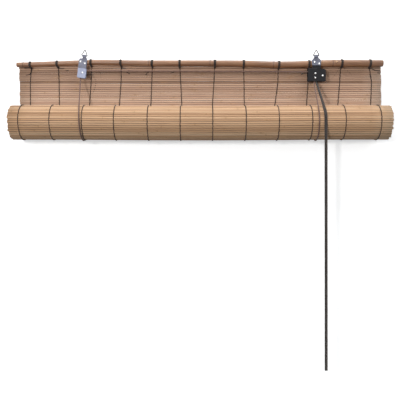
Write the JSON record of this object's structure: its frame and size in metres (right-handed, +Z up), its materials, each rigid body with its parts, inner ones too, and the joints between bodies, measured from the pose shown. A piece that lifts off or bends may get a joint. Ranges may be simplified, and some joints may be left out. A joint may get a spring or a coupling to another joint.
{
  "type": "bamboo roll up blind",
  "caption": "Roll-up blind of split bamboo slats tied with thread, hung by rings from a cane head rod, with a pulley, a cord lock and free pull cords.",
  "frame": {"origin": "level with the points where the hooks bear in the tops of the hanging rings, in the plane of the rings and midway across the slat mat's width", "axes": "+X along the head rod to the right as seen from the front, +Z up, front faces -Y"},
  "size_m": [1.206, 0.1273, 1.0216],
  "materials": {
    "bamboo_slats": "raw split bamboo",
    "cane": "heat-darkened cane with a waxy skin",
    "warp_thread": "dark brown twisted thread",
    "lift_cord": "grey-brown braid",
    "pull_cord": "dark grey-brown braid",
    "zinc_plate": "dull zinc plate",
    "zinc_case": "blue passivated zinc",
    "ring_wire": "drawn wire",
    "bright_steel": "bright steel",
    "black_case": "black stove enamel, satin",
    "wheel_brass": "turned brass",
    "pawl_steel": "pressed steel"
  },
  "bodies": {
    "blind": {"slat_mat": "bamboo_slats", "slat_roll": "bamboo_slats", "head_rod": "cane", "bottom_rod": "cane", "warp_thread_01": "warp_thread", "warp_thread_02": "warp_thread", "warp_thread_03": "warp_thread", "warp_thread_04": "warp_thread", "warp_thread_05": "warp_thread", "warp_thread_06": "warp_thread", "warp_thread_07": "warp_thread", "warp_thread_08": "warp_thread", "warp_thread_09": "warp_thread", "warp_thread_10": "warp_thread", "warp_thread_11": "warp_thread", "warp_thread_12": "warp_thread", "left_hanger_plate": "zinc_plate", "right_hanger_plate": "zinc_plate", "plate_screws": "bright_steel", "left_pulley_case": "zinc_case", "lock_case": "black_case", "case_rivets": "bright_steel", "lift_cord_left": "lift_cord", "lift_cord_right": "lift_cord", "pull_cord_left": "pull_cord", "pull_cord_right": "pull_cord", "screw_eyes": "zinc_plate", "cord_knots": "lift_cord"},
    "left_ring": {"left_ring": "ring_wire"},
    "right_ring": {"right_ring": "ring_wire"},
    "left_pulley_wheel": {"left_pulley_wheel": "wheel_brass"},
    "lock_wheel": {"lock_wheel": "wheel_brass"},
    "guide_roller": {"guide_roller": "bright_steel"},
    "locking_pawl": {"locking_pawl": "pawl_steel"}
  },
  "joints": [
    {"name": "left_ring_swing", "type": "hinge", "parent": "blind", "child": "left_ring", "pos_m": [-0.378, 0, -0.018], "axis": [0.9925, 0, -0.1219], "range_deg": [-110, 120]},
    {"name": "right_ring_swing", "type": "hinge", "parent": "blind", "child": "right_ring", "pos_m": [0.38, 0, -0.018], "axis": [1, 0, 0], "range_deg": [-110, 120]},
    {"name": "left_pulley_spin", "type": "hinge", "parent": "blind", "child": "left_pulley_wheel", "pos_m": [-0.38337, -0.00112, -0.07487], "axis": [0, 1, 0], "continuous": true},
    {"name": "lock_wheel_spin", "type": "hinge", "parent": "blind", "child": "lock_wheel", "pos_m": [0.375, -0.00312, -0.0779], "axis": [0, 1, 0], "continuous": true},
    {"name": "guide_roller_spin", "type": "hinge", "parent": "blind", "child": "guide_roller", "pos_m": [0.3752, -0.00312, -0.0922], "axis": [0, 1, 0], "continuous": true},
    {"name": "locking_pawl_swing", "type": "hinge", "parent": "blind", "child": "locking_pawl", "pos_m": [0.399, -0.00312, -0.0854], "axis": [0, -1, 0], "range_deg": [-45, 0]}
  ]
}
